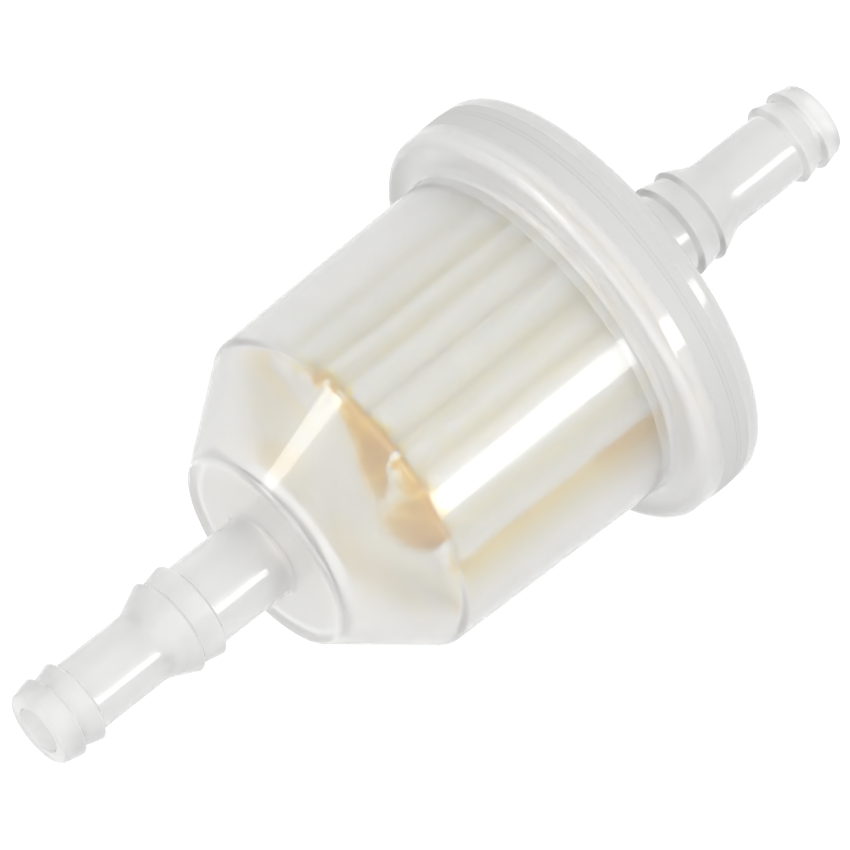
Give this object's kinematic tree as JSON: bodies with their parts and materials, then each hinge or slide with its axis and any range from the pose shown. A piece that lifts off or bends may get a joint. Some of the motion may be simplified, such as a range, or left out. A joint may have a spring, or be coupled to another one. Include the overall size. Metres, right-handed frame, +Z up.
{
  "type": "in-line fuel filter",
  "caption": "In-line fuel filter for a small petrol engine: sealed milky nylon shell with a barbed nipple at each end and a pleated paper element inside.",
  "frame": {"origin": "middle of the filter on its flow axis, halfway between the two hose ends", "axes": "+X along the flow axis from inlet to outlet, +Z up, +Y across; round about X"},
  "size_m": [0.089, 0.0396, 0.0396],
  "materials": {
    "milky_nylon": "translucent milky white moulded nylon, glossy, with soft tool marks",
    "filter_paper": "cream resin-treated filter paper, matt and fibrous",
    "amber_adhesive": "cured amber adhesive, satin and uneven"
  },
  "bodies": {
    "root": {"inlet_housing": "milky_nylon", "outlet_cap": "milky_nylon", "weld_ring": "milky_nylon", "pleated_paper": "filter_paper", "paper_seam": "filter_paper", "closed_end_seal": "amber_adhesive", "open_end_seal": "amber_adhesive"}
  },
  "joints": []
}
